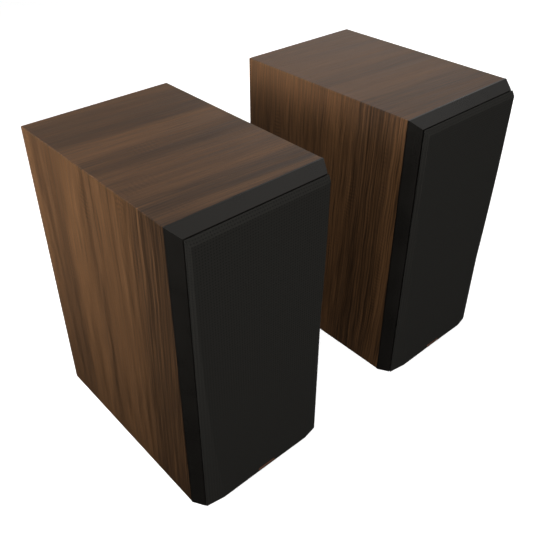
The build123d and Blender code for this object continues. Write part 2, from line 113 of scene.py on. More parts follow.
def place(piece, body, slot, *nodes):
    """Puts a piece on its body and hides the CAD nodes that it stands for; slot is not used."""
    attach(piece, body)
    if nodes:
        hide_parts(*nodes)
    return piece


def keep_flat(piece):
    """Weighs the shading by face area, so that large flat faces beside rounded edges look flat."""
    weighted = piece.modifiers.new("flat_faces", "WEIGHTED_NORMAL")
    weighted.weight = 100
    weighted.keep_sharp = True
    return piece


def refined(node, body, slot, material, edge=0.0004):
    """A copy of a CAD part whose sharp edges are rounded, which stands for that part."""
    same_within, flat_within, sharp_from = 2e-6, math.radians(0.6), math.radians(28)
    bm = bmesh.new()
    bm.from_mesh(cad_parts[node].data)
    for layer in list(bm.loops.layers.uv):
        bm.loops.layers.uv.remove(layer)
    bmesh.ops.remove_doubles(bm, verts=bm.verts, dist=same_within)
    bmesh.ops.dissolve_limit(bm, angle_limit=flat_within, verts=bm.verts, edges=bm.edges)
    bm.normal_update()
    sharp = [e for e in bm.edges if len(e.link_faces) == 2 and e.calc_face_angle(0) > sharp_from]
    bmesh.ops.bevel(bm, geom=sharp, offset=edge, segments=2, profile=0.6, affect="EDGES",
                    clamp_overlap=True)
    piece = keep_flat(add_piece(node + "_finish", bm, [material]))
    return place(piece, body, slot, node)


def lathe(profile, centre, steps=96, closed=True):
    """A turned shape about a line along Y through centre (x, z); profile is (radius, y) points.
    Its UV map runs once around in u, and along the profile in metres in v."""
    bm = bmesh.new()
    layer = bm.loops.layers.uv.new("around")
    points = [Vector(p) for p in profile]
    if closed:
        points.append(points[0])
    along = [0.0]
    for a, b in zip(points, points[1:]):
        along.append(along[-1] + (b - a).length)
    angles = [2 * math.pi * k / steps for k in range(steps)]
    rings = []
    for radius, y in points[:-1] if closed else points:
        if radius < AXIS_RADIUS:
            rings.append([bm.verts.new((centre[0], y, centre[1]))] * steps)
        else:
            rings.append([bm.verts.new((centre[0] + radius * math.cos(a), y,
                                        centre[1] + radius * math.sin(a))) for a in angles])
    if closed:
        rings.append(rings[0])
    for i, (low, high) in enumerate(zip(rings, rings[1:])):
        for k in range(steps):
            j = (k + 1) % steps
            corners = {}
            for vert, turn, row in ((low[k], k, i), (low[j], k + 1, i), (high[j], k + 1, i + 1),
                                    (high[k], k, i + 1)):
                corners.setdefault(vert, (turn / steps, along[row]))
            if len(corners) > 2:
                face = bm.faces.new(list(corners))
                for loop, uv in zip(face.loops, corners.values()):
                    loop[layer].uv = uv
    bmesh.ops.recalc_face_normals(bm, faces=bm.faces)
    return bm


def carve(bm, cutter):
    """Takes one bmesh away from another, and returns what is left."""
    pair = []
    for shape in (bm, cutter):
        mesh = bpy.data.meshes.new("carve")
        shape.to_mesh(mesh)
        shape.free()
        pair.append(bpy.data.objects.new("carve", mesh))
        scene.collection.objects.link(pair[-1])
    boolean = pair[0].modifiers.new("carve", "BOOLEAN")
    boolean.operation = "DIFFERENCE"
    boolean.solver = "EXACT"
    boolean.object = pair[1]
    evaluated = pair[0].evaluated_get(bpy.context.evaluated_depsgraph_get())
    left = bmesh.new()
    left.from_mesh(evaluated.to_mesh())
    for item in pair:
        mesh = item.data
        bpy.data.objects.remove(item)
        bpy.data.meshes.remove(mesh)
    return left


def merge(bm, part):
    """Moves the faces of one bmesh into another."""
    mesh = bpy.data.meshes.new("part")
    part.to_mesh(mesh)
    part.free()
    bm.from_mesh(mesh)
    bpy.data.meshes.remove(mesh)


def add_block(bm, low, high):
    """Adds a block between two corners to a bmesh."""
    size = Vector(high) - Vector(low)
    middle = (Vector(high) + Vector(low)) / 2
    matrix = Matrix.Translation(middle) @ Matrix.Diagonal((*size, 1.0))
    return bmesh.ops.create_cube(bm, size=1.0, matrix=matrix)["verts"]


def measured(node):
    """The low and high corners of a part, the (x, z) of its middle, and half its width, which is
    the radius of a part that is turned about a line along Y."""
    low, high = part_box(node)
    return low, high, ((low.x + high.x) / 2, (low.z + high.z) / 2), (high.x - low.x) / 2


def islands(bm):
    """The connected pieces of a bmesh, as lists of faces."""
    left, found = set(bm.faces), []
    while left:
        start = left.pop()
        queue, island = [start], [start]
        while queue:
            for edge in queue.pop().edges:
                for face in edge.link_faces:
                    if face in left:
                        left.remove(face)
                        island.append(face)
                        queue.append(face)
        found.append(island)
    return found


# ---- Node helpers ----

class Tree:
    """A node tree, with short calls for the nodes that it is made of."""

    def __init__(self, tree):
        self.tree = tree

    def put(self, socket, value):
        """Links a socket or sets its value; a colour is given without its alpha."""
        if isinstance(value, bpy.types.NodeSocket):
            self.tree.links.new(value, socket)
        elif socket.type == "RGBA":
            socket.default_value = (*value, 1.0)
        else:
            socket.default_value = value

    def node(self, kind, inputs, output=0, **settings):
        """Makes a node, with its inputs by name or number, and returns one of its outputs."""
        made = self.tree.nodes.new("ShaderNode" + kind)
        for name, value in settings.items():
            setattr(made, name, value)
        for key, value in inputs.items():
            self.put(made.inputs[key], value)
        return made.outputs[output]

    def math(self, operation, a, b=0.0, c=0.0):
        return self.node("Math", {0: a, 1: b, 2: c}, operation=operation)

    def plus(self, a, b):
        return self.math("ADD", a, b)

    def minus(self, a, b):
        return self.math("SUBTRACT", a, b)

    def times(self, a, b):
        return self.math("MULTIPLY", a, b)

    def linear(self, value, gain, offset):
        return self.math("MULTIPLY_ADD", value, gain, offset)

    def wave(self, value, pitch, shape="SINE"):
        return self.math(shape, self.times(value, 2 * math.pi / pitch))

    def point(self):
        """The point being shaded, in metres, in the part's own frame."""
        return self.node("TexCoord", {}, output=3)

    def map(self, name):
        """A UV map of the piece."""
        return self.node("UVMap", {}, uv_map=name)

    def split(self, vector):
        return self.node("SeparateXYZ", {0: vector}).node.outputs

    def join(self, x, y, z=0.0):
        return self.node("CombineXYZ", {0: x, 1: y, 2: z})

    def noise(self, vector, scale, detail=3.0, roughness=0.5):
        return self.node("TexNoise", {"Vector": vector, "Scale": scale, "Detail": detail,
                                      "Roughness": roughness})

    def span(self, value, low, high, to_low=0.0, to_high=1.0):
        """Moves a value from one range to another and keeps it inside; a move to the range from
        0 to 1 is eased at its ends."""
        kind = "SMOOTHSTEP" if (to_low, to_high) == (0.0, 1.0) else "LINEAR"
        return self.node("MapRange", {"Value": value, "From Min": low, "From Max": high,
                                      "To Min": to_low, "To Max": to_high},
                         interpolation_type=kind)

    def ramp(self, value, stops, interpolation="LINEAR"):
        """A colour ramp; stops are (position, grey level or colour)."""
        output = self.node("ValToRGB", {0: value})
        colours = output.node.color_ramp
        colours.interpolation = interpolation
        while len(colours.elements) < len(stops):
            colours.elements.new(0.5)
        for element, (position, colour) in zip(colours.elements, stops):
            if not isinstance(colour, tuple):
                colour = (colour, colour, colour)
            element.position = position
            element.color = (*colour, 1.0)
        return output

    def mix(self, share, a, b):
        """Colour a, replaced with colour b by the given share."""
        return self.node("Mix", {0: share, 6: a, 7: b}, output=2, data_type="RGBA")

    def bump(self, height, distance, strength):
        return self.node("Bump", {"Height": height, "Distance": distance, "Strength": strength})


class Paint(Tree):
    """A material with one shader, whose sockets are set by name."""

    def __init__(self, name, **settings):
        self.material = bpy.data.materials.new(name)
        self.material.use_nodes = True
        super().__init__(self.material.node_tree)
        self.set(**settings)

    def set(self, **values):
        """Sets or links sockets of the shader, and returns the material."""
        shader = self.tree.nodes["Principled BSDF"]
        for name, value in values.items():
            self.put(shader.inputs[name.replace("_", " ")], value)
        return self.material


# ---- Materials ----

def walnut(name, seed, side_bands, top_bands_with_shade, lined):
    """Walnut foil. Its UV map runs along the grain in u and across it in v, in metres.
    The bands are (share of the depth from the front, tone) for the sides and for the top, and
    lined is how far back from the front, as a share, the strongly lined wood reaches."""
    paint = Paint(name)
    along, across, _ = paint.split(paint.map("grain"))

    def streaks(line, across_scale, along_scale, offset, detail=2.0):
        """Noise that is drawn out along the grain; the scales are features per metre, and line is
        the place across the grain."""
        place_at = paint.join(paint.times(along, along_scale), paint.times(line, across_scale),
                              seed + offset)
        return paint.noise(place_at, 1.0, detail)

    def add(tone, part, amount):
        """Adds a part whose middle is at 0.5 to the tone."""
        return paint.plus(tone, paint.linear(part, amount, -amount / 2))

    # The grain leans a little, and wanders off its line
    over_top = paint.math("GREATER_THAN", along, SIDE_RUN)
    slow = streaks(across, 14.0, 4.0, 0.0)
    quick = streaks(across, 60.0, 16.0, 3.1)
    wander = paint.plus(paint.linear(slow, 0.015, -0.0075), paint.linear(quick, 0.0036, -0.0018))
    lean = paint.times(paint.minus(along, SIDE_RUN), paint.linear(over_top, 0.02, 0.04))
    bent = paint.plus(paint.plus(across, lean), wander)
    share = paint.math("DIVIDE", bent, WOOD_DEPTH)
    # Darker and lighter bands, with streaks on them that are calmer on the top; the top's tones also
    # hold painted shade
    bands = paint.mix(over_top, paint.ramp(share, side_bands, "EASE"),
                      paint.ramp(share, top_bands_with_shade, "EASE"))
    broad = streaks(bent, 90.0, 2.5, 11.0)
    fine = streaks(bent, 330.0, 4.5, 17.0, 3.0)
    hair = streaks(bent, 1000.0, 16.0, 23.0)
    lines = add(add(0.0, fine, 1.30), hair, 1.60)
    tone = paint.linear(lines, paint.linear(over_top, -0.35, 1.0), add(bands, broad, 0.46))
    # Close parallel lines of the growth rings, strongest near the front
    rings = paint.wave(paint.linear(streaks(bent, 170.0, 5.0, 29.0), 0.0085, bent), RING_PITCH)
    near_front = paint.span(share, lined + 0.03, lined - 0.05)
    patches = paint.span(streaks(bent, 20.0, 2.0, 31.0, 1.0), 0.52, 0.66)
    ring_share = paint.math("MAXIMUM", near_front, paint.times(patches, 0.55))
    rings = paint.times(paint.span(rings, -0.1, 1.0), ring_share)
    tone = paint.minus(tone, paint.times(rings, paint.linear(over_top, -0.22, 0.36)))
    # Ripple across the grain, in a few patches
    ripple = paint.wave(paint.linear(quick, 0.012, along), RIPPLE_PITCH)
    ripple = paint.times(ripple, paint.span(streaks(bent, 30.0, 9.0, 41.0, 1.0), 0.58, 0.72))
    tone = paint.plus(tone, paint.times(ripple, paint.linear(over_top, -0.08, 0.14)))
    # Pores: short dark dashes along the grain
    pores = paint.span(streaks(bent, 1900.0, 110.0, 53.0, 1.0), 0.62, 0.72)
    colour = paint.mix(paint.times(pores, 0.55), paint.ramp(tone, WALNUT_TONES), PORE_BROWN)
    relief = paint.minus(paint.times(hair, 0.5), pores)
    return paint.set(Base_Color=colour, Roughness=paint.span(fine, 0.3, 0.7, 0.42, 0.54),
                     Normal=paint.bump(relief, 0.00006, 0.5))


def grained(name, colour, roughness, grain, bump, shift=0.25, **settings):
    """Moulded or painted stuff: a fine skin of the given grain size, and a slow change of tone."""
    paint = Paint(name, **settings)
    skin = paint.noise(paint.point(), 1.0 / grain, 3.0, 0.6)
    cloud = paint.noise(paint.point(), 14.0, 2.0)
    worn = paint.plus(paint.times(skin, 0.35), paint.times(cloud, 0.65))
    darker = tuple(c * (1 - shift) for c in colour)
    lighter = tuple(c * (1 + shift) for c in colour)
    return paint.set(Base_Color=paint.ramp(worn, [(0.3, darker), (0.7, lighter)]),
                     Roughness=paint.span(worn, 0.3, 0.7, roughness - 0.04, roughness + 0.06),
                     Normal=paint.bump(skin, bump, 0.6))


def brushed(name, colour, roughness, stretch=(1, 1, 1)):
    """Metal with fine scratches; stretch is how the scratch noise is scaled along each axis."""
    paint = Paint(name, Metallic=1.0)
    stretched = paint.node("VectorMath", {0: paint.point(), 1: stretch}, operation="MULTIPLY")
    lines = paint.noise(stretched, 900.0, 3.0, 0.6)
    cloud = paint.noise(paint.point(), 60.0, 2.0)
    darker = tuple(c * (1 - METAL_SHIFT) for c in colour)
    return paint.set(Base_Color=paint.mix(cloud, darker, colour),
                     Roughness=paint.span(lines, 0.3, 0.7, roughness - 0.06, roughness + 0.08),
                     Normal=paint.bump(lines, 0.00002, 0.5))


def speaker_cloth():
    """Black knitted cloth: staggered round eyelets between fine yarns. Its UV map is in metres, as
    the cloth lay flat."""
    paint = Paint("grille_cloth_black", Specular_IOR_Level=0.12, Sheen_Weight=0.02,
                  Sheen_Roughness=0.45)
    u, v, _ = paint.split(paint.map("flat"))
    stitch = paint.plus(paint.wave(u, KNIT_PITCH, "COSINE"), paint.wave(v, KNIT_PITCH, "COSINE"))
    eyelets = paint.span(stitch, 0.55, 1.45)
    yarn = paint.noise(paint.join(paint.times(u, 2.4), v), 2200.0, 2.0)
    thread = paint.ramp(yarn, [(0.3, (0.0132, 0.0124, 0.0106)), (0.7, (0.0182, 0.0173, 0.0151))])
    relief = paint.linear(yarn, 0.25, paint.times(eyelets, -1.0))
    return paint.set(Base_Color=paint.mix(paint.times(eyelets, 0.8), thread, EYELET_BLACK),
                     Roughness=paint.span(yarn, 0.3, 0.7, 0.80, 0.92),
                     Normal=paint.bump(relief, 0.00014, 0.5))


def woven(name, pitch, low, high, roughness, bump):
    """A plain weave seen along Y, with threads of the given pitch."""
    paint = Paint(name)
    x, _, z = paint.split(paint.point())
    a = paint.wave(x, pitch)
    b = paint.wave(z, pitch)
    over = paint.span(paint.times(a, b), -0.35, 0.35)
    warp = paint.math("ABSOLUTE", b)
    weft = paint.math("ABSOLUTE", a)
    crown = paint.plus(paint.times(over, warp), paint.times(paint.minus(1.0, over), weft))
    thread = paint.noise(paint.point(), 5.0 / pitch, 2.0)
    tone = paint.linear(thread, 0.4, paint.times(crown, 0.6))
    return paint.set(Base_Color=paint.ramp(tone, [(0.25, low), (0.8, high)]),
                     Roughness=paint.span(thread, 0.3, 0.7, roughness, roughness + 0.12),
                     Normal=paint.bump(tone, bump, 0.8))


# ---- Cabinet ----

def cabinet_wrap(side, material, inside):
    """The four walls as one foil-covered tube, folded from one panel: its long edges are crisp
    folds, and its two ends are slightly rounded."""
    low, high, (x, _), half = measured(side + "_cabinet_sides")
    top = high.z
    fold, end_round = 0.0009, 0.00045

    def outline(inset):
        """(x, z) points round the section, each fold in four points, from the lower left corner up."""
        w, h = half - inset, top - inset
        points = []
        for n, (cx, cz) in enumerate(((-w, inset), (-w, h), (w, h), (w, inset))):
            mx = cx - math.copysign(fold, cx)
            mz = cz + (fold if cz == inset else -fold)
            for k in range(4):
                angle = math.radians(270 - 90 * n - 30 * k)
                points.append((mx + fold * math.cos(angle), mz + fold * math.sin(angle)))
        return points

    bm = bmesh.new()
    layer = bm.loops.layers.uv.new("grain")
    y0, y1 = low.y, high.y
    rows = [(y0, end_round), (y0 + end_round * 0.3, end_round * 0.3), (y0 + end_round, 0.0),
            (y1 - end_round, 0.0), (y1 - end_round * 0.3, end_round * 0.3), (y1, end_round)]
    rings = []
    for y, inset in rows:
        rings.append([bm.verts.new((x + px, y, pz)) for px, pz in outline(inset)])
    points = outline(0.0)
    count = len(points)
    along = [0.0]
    for k in range(count):
        a, b = points[k], points[(k + 1) % count]
        along.append(along[-1] + math.dist(a, b))
    start = along[3]
    for (ya, _), (yb, _), ring_a, ring_b in zip(rows, rows[1:], rings, rings[1:]):
        for k in range(count):
            j = (k + 1) % count
            face = bm.faces.new([ring_a[k], ring_b[k], ring_b[j], ring_a[j]])
            for loop, (s, y) in zip(face.loops, ((k, ya), (k, yb), (k + 1, yb), (k + 1, ya))):
                loop[layer].uv = (along[s] - start, y - y0)
    inner = [[bm.verts.new((x + px, y, pz)) for px, pz in
              ((-half + WALL, WALL), (-half + WALL, top - WALL), (half - WALL, top - WALL),
               (half - WALL, WALL))] for y in (y0, y1)]
    for k in range(4):
        j = (k + 1) % 4
        face = bm.faces.new([inner[0][k], inner[0][j], inner[1][j], inner[1][k]])
        face.material_index = 1
    for ring, hole in ((rings[0], inner[0]), (rings[-1], inner[1])):
        for k in range(4):
            j = (k + 1) % 4
            arc = ring[4 * k:4 * k + 4] + [ring[(4 * k + 4) % count]]
            face = bm.faces.new(arc + [hole[j], hole[k]])
            face.material_index = 1
    bmesh.ops.recalc_face_normals(bm, faces=bm.faces)
    piece = keep_flat(add_piece(side + "_cabinet_wrap", bm, [material, inside]))
    place(piece, side + "_speaker", "walnut", side + "_cabinet_top_and_base",
          side + "_cabinet_sides")


# ---- Grille ----

def crease_half(z):
    """Half the width of the grille's flat front at height z."""
    return CREASE_HALF - CREASE_BEND * max(0.0, CREASE_BEND_Z - z) ** 2


def grille_cloth(side, material):
    """The cloth pulled over the grille frame: a flat front, soft creases, facets, and a hem that
    is turned onto the back of the frame."""
    low, high, (x, _), half = measured(side + "_grille_cloth")
    front, back = low.y, high.y
    rim = back - GRILLE_RIM_HEIGHT
    rows, columns = 56, 24
    flat_height, flat_middle = CREASE_TOP - CREASE_BOTTOM, (CREASE_TOP + CREASE_BOTTOM) / 2
    # How far the bends at the crease, the rim and the hem are rounded
    soft, rim_soft, hem_soft = 0.0016, 0.0006, 0.0004
    tiny = 1e-7

    def rim_height(z):
        """The height on the straight rim that belongs to a height on the crease."""
        if z < CREASE_BEND_Z:
            share = (z - CREASE_BOTTOM) / (CREASE_BEND_Z - CREASE_BOTTOM)
            return low.z + share * (CREASE_BEND_Z - low.z)
        share = (z - CREASE_BEND_Z) / (CREASE_TOP - CREASE_BEND_Z)
        return CREASE_BEND_Z + share * (high.z - CREASE_BEND_Z)

    def crease(i, j):
        """(x, z) of a place on the flat front, before its edge is rounded."""
        z = CREASE_BOTTOM + flat_height * i / rows
        return (2 * j / columns - 1) * crease_half(z), z

    bm = bmesh.new()
    layer = bm.loops.layers.uv.new("flat")
    flat_uv = {}

    def vertex(px, py, pz, uv):
        made = bm.verts.new((x + px, py, pz))
        flat_uv[made] = uv
        return made

    def drawn_in(px, pz, by):
        """A place on the flat front, drawn in towards its middle."""
        return (px * (1 - by / crease_half(pz)),
                flat_middle + (pz - flat_middle) * (1 - 2 * by / flat_height))

    grid = []
    for i in range(rows + 1):
        line = []
        for j in range(columns + 1):
            px, pz = drawn_in(*crease(i, j), soft)
            line.append(vertex(px, front, pz, (px, pz)))
        grid.append(line)
    for i in range(rows):
        for j in range(columns):
            bm.faces.new([grid[i][j], grid[i][j + 1], grid[i + 1][j + 1], grid[i + 1][j]])

    border = [(0, j) for j in range(columns)] + [(i, columns) for i in range(rows)]
    border += [(rows, j) for j in range(columns, 0, -1)] + [(i, 0) for i in range(rows, 0, -1)]
    strips = []
    for i, j in border:
        cx, cz = crease(i, j)
        share = 2 * j / columns - 1
        rx, rz = share * half, rim_height(cz)
        away = Vector(((j == columns) - (j == 0), (i == rows) - (i == 0))).normalized()
        ix, iz = drawn_in(cx, cz, soft)
        bx, bz = rx - away.x * UNDERCUT, rz - away.y * UNDERCUT
        section = [(ix, front, iz), (cx, front, cz), (rx, rim, rz), (bx, back + HEM_PROUD, bz),
                   (bx - away.x * HEM, back + HEM_PROUD, bz - away.y * HEM)]
        section = [Vector(point) for point in section]
        smooth = [section[0]]
        for before, corner, after, reach in zip(section, section[1:], section[2:],
                                                (soft, rim_soft, hem_soft)):
            near = min(reach, (corner - before).length * 0.8)
            far = min(reach, (after - corner).length * 0.45)
            first = corner + (before - corner).normalized() * near
            last = corner + (after - corner).normalized() * far
            for k in range(5):
                t = k / 4
                smooth.append(first.lerp(corner, t).lerp(corner.lerp(last, t), t))
        smooth.append(section[-1])
        strip = [grid[i][j]]
        # On the flat cloth every step of the section goes outwards by its own length
        u, v = flat_uv[grid[i][j]]
        for a, b in zip(smooth, smooth[1:]):
            step = (b - a).length
            run = Vector((abs((b.x - a.x) * away.x), abs((b.z - a.z) * away.y)))
            if run.length > tiny:
                outwards = run.normalized()
            else:
                outwards = Vector((abs(away.x), abs(away.y)))
            if step > tiny:
                u += math.copysign(outwards.x * step, away.x) if away.x else b.x - a.x
                v += math.copysign(outwards.y * step, away.y) if away.y else b.z - a.z
            strip.append(vertex(b.x, b.y, b.z, (u, v)))
        strips.append(strip)
    for strip, after in zip(strips, strips[1:] + strips[:1]):
        for k in range(len(strip) - 1):
            bm.faces.new([strip[k], strip[k + 1], after[k + 1], after[k]])
    for face in bm.faces:
        for loop in face.loops:
            loop[layer].uv = flat_uv[loop.vert]
    bmesh.ops.recalc_face_normals(bm, faces=bm.faces)
    bm.faces.ensure_lookup_table()
    if bm.faces[0].normal.y > 0:
        bmesh.ops.reverse_faces(bm, faces=bm.faces)
    piece = add_piece(side + "_grille_cover", bm, [material], 60)
    shell = piece.modifiers.new("thickness", "SOLIDIFY")
    shell.thickness = CLOTH_THICK
    shell.offset = -1.0
    place(piece, side + "_grille", "grille_cloth", side + "_grille_cloth")


def grille_badge(side, material):
    """A small plain bar with round ends and a domed face."""
    low, high, (x, z), half = measured(side + "_grille_badge")
    radius, depth, steps = (high.z - low.z) / 2, high.y - low.y, 32
    straight = half - radius
    bm = bmesh.new()
    layers = [(1.0, high.y), (1.0, low.y + depth * 0.45), (0.90, low.y + depth * 0.12),
              (0.70, low.y), (0.0, low.y)]
    rings = []
    for share, y in layers[:-1]:
        ring = []
        for k in range(steps):
            angle = 2 * math.pi * (k + 0.5) / steps
            middle = math.copysign(straight, math.cos(angle))
            ring.append(bm.verts.new((x + middle + share * radius * math.cos(angle), y,
                                      z + share * radius * math.sin(angle))))
        rings.append(ring)
    for a, b in zip(rings, rings[1:]):
        for k in range(steps):
            j = (k + 1) % steps
            bm.faces.new([a[k], a[j], b[j], b[k]])
    bm.faces.new(rings[-1])
    bm.faces.new(rings[0])
    bmesh.ops.recalc_face_normals(bm, faces=bm.faces)
    piece = add_piece(side + "_badge_bar", bm, [material], 50)
    place(piece, side + "_grille", "badge", side + "_grille_badge")


# ---- Woofer and tweeter ----

def ring_places(centre, radius, count):
    """(x, z) of count places on a circle, the first at 45 degrees."""
    angles = [math.radians(45 + 360 * k / count) for k in range(count)]
    return [(centre[0] + radius * math.cos(a), centre[1] + radius * math.sin(a)) for a in angles]


def dome_curve(radius, rise, front, steps):
    """(radius, y) points of a round dome, from its tip at y = front out to its rim."""
    ball = (radius ** 2 + rise ** 2) / (2 * rise)
    half_angle = math.asin(radius / ball)
    angles = [half_angle * k / steps for k in range(steps + 1)]
    return [(ball * math.sin(a), front + ball - ball * math.cos(a)) for a in angles]


def woofer_cone(side, material):
    """The cone: a thin shell that flares gently from the voice coil to the surround."""
    low, high, centre, outer = measured(side + "_woofer_cone")
    neck, rim, skin, steps = 0.0190, 0.0012, 0.0009, 16
    front, back = low.y, high.y - rim
    curve = []
    for k in range(steps + 1):
        t = k / steps
        curve.append((neck + (outer - neck) * t, back + (front - back) * (0.86 * t + 0.14 * t * t)))
    profile = curve + [(r, y + skin) for r, y in reversed(curve)]
    piece = add_piece(side + "_cone_shell", lathe(profile, centre, 128), [material])
    place(piece, side + "_woofer", "cone", side + "_woofer_cone")


def dust_cap(side, material):
    """The domed cap over the voice coil, with a narrow glue rim."""
    low, high, centre, radius = measured(side + "_woofer_dust_cap")
    skin, rim = 0.0006, 0.0006
    curve = dome_curve(radius, high.y - low.y, low.y, 14)
    foot = curve[-1][1]
    under = [(max(0.0, r - 0.0004), y + skin) for r, y in reversed(curve)]
    curve += [(radius + rim, foot + 0.0002), (radius + rim, foot + skin)]
    piece = add_piece(side + "_dust_cap_shell", lathe(curve + under, centre, 96, closed=False),
                      [material])
    place(piece, side + "_woofer", "dust_cap", side + "_woofer_dust_cap")


def surround(side, material):
    """The rubber half roll between cone and basket. Its outer half stays with the basket; its
    inner half, from the crown down to the lip that moves with the cone, is put on no body."""
    low, _, centre, outer = measured(side + "_woofer_surround")
    roll_in, roll_out, lip_in, skin = 0.0588, 0.0686, 0.0550, 0.0007
    middle, big = (roll_in + roll_out) / 2, (roll_out - roll_in) / 2
    lip = low.y + big

    def roll(radius, foot_angle, steps=14):
        """Points of the roll from its crown to its inner foot at 0 or its outer foot at 180."""
        angles = [math.radians(90 + (foot_angle - 90) * k / steps) for k in range(steps + 1)]
        return [(middle - radius * math.cos(a), lip - radius * math.sin(a)) for a in angles]

    halves = {
        "outer": (180, [(roll_out + 0.0008, lip - 0.0001), (outer, lip), (outer, lip + skin),
                        (roll_out, lip + skin)]),
        "inner": (0, [(roll_in - 0.0008, lip - 0.0001), (lip_in, lip + 0.0001),
                      (lip_in, lip + 0.0006), (roll_in, lip + 0.0006)]),
    }
    made = []
    for name, (foot_angle, rim) in halves.items():
        under = roll(big - skin, foot_angle)
        profile = roll(big, foot_angle) + rim + under[::-1]
        piece = add_piece(f"{side}_surround_{name}", lathe(profile, centre, 128), [material], 50)
        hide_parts(side + "_woofer_surround")
        made.append(piece)
    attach(made[0], side + "_speaker")
    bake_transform(made[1])


def tweeter_dome(side, material):
    """The soft dome with its small roll and flat rim, and the coil former behind it."""
    low, high, centre, _ = measured(side + "_tweeter_dome")
    rise, radius, roll, rim = 0.0046, 0.0108, 0.0012, 0.0142
    former_in, former_out = 0.0122, 0.0126
    base = low.y + rise
    curve = dome_curve(radius, rise, low.y, 12)
    for k in range(1, 9):
        a = math.pi * k / 8
        curve.append((radius + roll * (1 - math.cos(a)), base - 0.0008 * math.sin(a)))
    under = [(max(0.0, r - 0.0001), y + 0.0003) for r, y in reversed(curve)]
    bm = lathe(curve + [(rim, base), (rim, base + 0.0004)] + under, centre, 96, closed=False)
    merge(bm, lathe([(former_in, base), (former_out, base), (former_out, high.y),
                     (former_in, high.y)], centre, 64))
    piece = add_piece(side + "_dome_cap", bm, [material])
    place(piece, side + "_tweeter", "dome", side + "_tweeter_dome")


def waveguide(side, material):
    """The tweeter's plate: a smooth horn mouth, a flat flange and recesses for its screws."""
    node = side + "_tweeter_plate"
    low, high, centre, outer = measured(node)
    throat, mouth, depth, steps = 0.0142, 0.0560, 0.0147, 24
    step, shoulder, neck, seat = 0.0495, 0.0440, 0.0340, 0.0150
    flange, throat_depth = 0.0037, 0.006
    front, back = low.y, high.y
    horn = []
    for k in range(steps + 1):
        t = k / steps
        horn.append((throat + (mouth - throat) * t ** 1.35, front + depth * (1 - t) ** 2.2))
    body = [(outer - 0.0006, front), (outer - 0.0002, front + 0.0002), (outer, front + 0.0006),
            (outer, front + flange), (step, front + flange), (shoulder, front + flange + 0.003),
            (neck, front + flange + 0.008), (neck, back), (seat, back),
            (seat, back - throat_depth), (throat, back - throat_depth)]
    bm = lathe(horn + body, centre, 128)
    # Each screw has a wide recess for its head, and a hole
    recess, hole, floor = 0.0039, 0.0018, front + 0.0021
    cutter = [(0.0, front - 0.002), (recess, front - 0.002), (recess, floor), (hole, floor),
              (hole, front + 0.01), (0.0, front + 0.01)]
    for spot in ring_places(centre, TWEETER_SCREW_RADIUS, 4):
        bm = carve(bm, lathe(cutter, spot, 40, closed=False))
    piece = add_piece(side + "_waveguide", bm, [material])
    place(piece, side + "_speaker", "waveguide", node)


# ---- Screws ----

def add_screw(bm, spot, seat, facing, turn):
    """Adds a pan-head screw with a cross recess at an (x, z) spot. seat is the y of its head's
    front, facing -1 for a head that looks forward, and turn the angle at which it was left."""
    head, shank, height, length = 0.0036, 0.00175, 0.0020, 0.0140
    profile = [(0.0, 0.0), (head * 0.70, 0.0), (head * 0.93, 0.00045), (head, 0.0011), (head, height),
               (shank, height), (shank, length * 0.8), (0.0004, length), (0.0, length)]
    screw = lathe([(r, -t * facing) for r, t in profile], (0.0, 0.0), 32, closed=False)
    recess = Vector((0.0019, 0.0013, 0.00042))
    for angle in (0, 90):
        slot = bmesh.new()
        add_block(slot, -recess, recess)
        slot.transform(Matrix.Rotation(math.radians(angle), 4, "Y"))
        screw = carve(screw, slot)
    screw.transform(Matrix.Translation((spot[0], seat, spot[1])) @ Matrix.Rotation(turn, 4, "Y"))
    merge(bm, screw)


def panel_screws(side, material):
    """Four screws each in the woofer, the tweeter and the terminal plate."""
    low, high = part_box(side + "_panel_screws")
    spots = []
    for node, radius in (("_woofer_basket", WOOFER_SCREW_RADIUS),
                         ("_tweeter_plate", TWEETER_SCREW_RADIUS)):
        spots += [(p, low.y, -1) for p in ring_places(measured(side + node)[2], radius, 4)]
    x, z = measured(side + "_terminal_plate")[2]
    spots += [((x + sx * TERMINAL_SCREW_X, z + sz * TERMINAL_SCREW_Z), high.y, 1)
              for sx in (-1, 1) for sz in (-1, 1)]
    bm = bmesh.new()
    for k, (spot, seat, facing) in enumerate(spots):
        add_screw(bm, spot, seat, facing, 0.9 * k)
    piece = add_piece(side + "_screws", bm, [material], 30)
    place(piece, side + "_speaker", "screw", side + "_panel_screws")


# ---- Rear ----

def port(side, material):
    """The bass port: a tube that flares into a rounded mouth and a thin flange."""
    node = side + "_port_tube"
    low, high, centre, flange = measured(node)
    bore, wall, flare, flange_thick, steps = 0.0240, 0.0025, 0.0090, 0.0030, 12
    front, rear = low.y, high.y
    curve = [(bore, front + 0.001), (bore, front + 0.04), (bore, rear - flare - 0.02)]
    for k in range(steps + 1):
        a = math.pi / 2 * k / steps
        curve.append((bore + flare * (1 - math.cos(a)), rear - flare * (1 - math.sin(a))))
    curve += [(flange - 0.0008, rear), (flange - 0.0002, rear - 0.0002), (flange, rear - 0.0008),
              (flange, rear - flange_thick), (bore + wall, rear - flange_thick),
              (bore + wall, front + 0.001), (bore + wall - 0.0008, front), (bore + 0.0008, front)]
    piece = add_piece(side + "_port", lathe(curve, centre, 128), [material], 40)
    place(piece, side + "_speaker", "port", node)


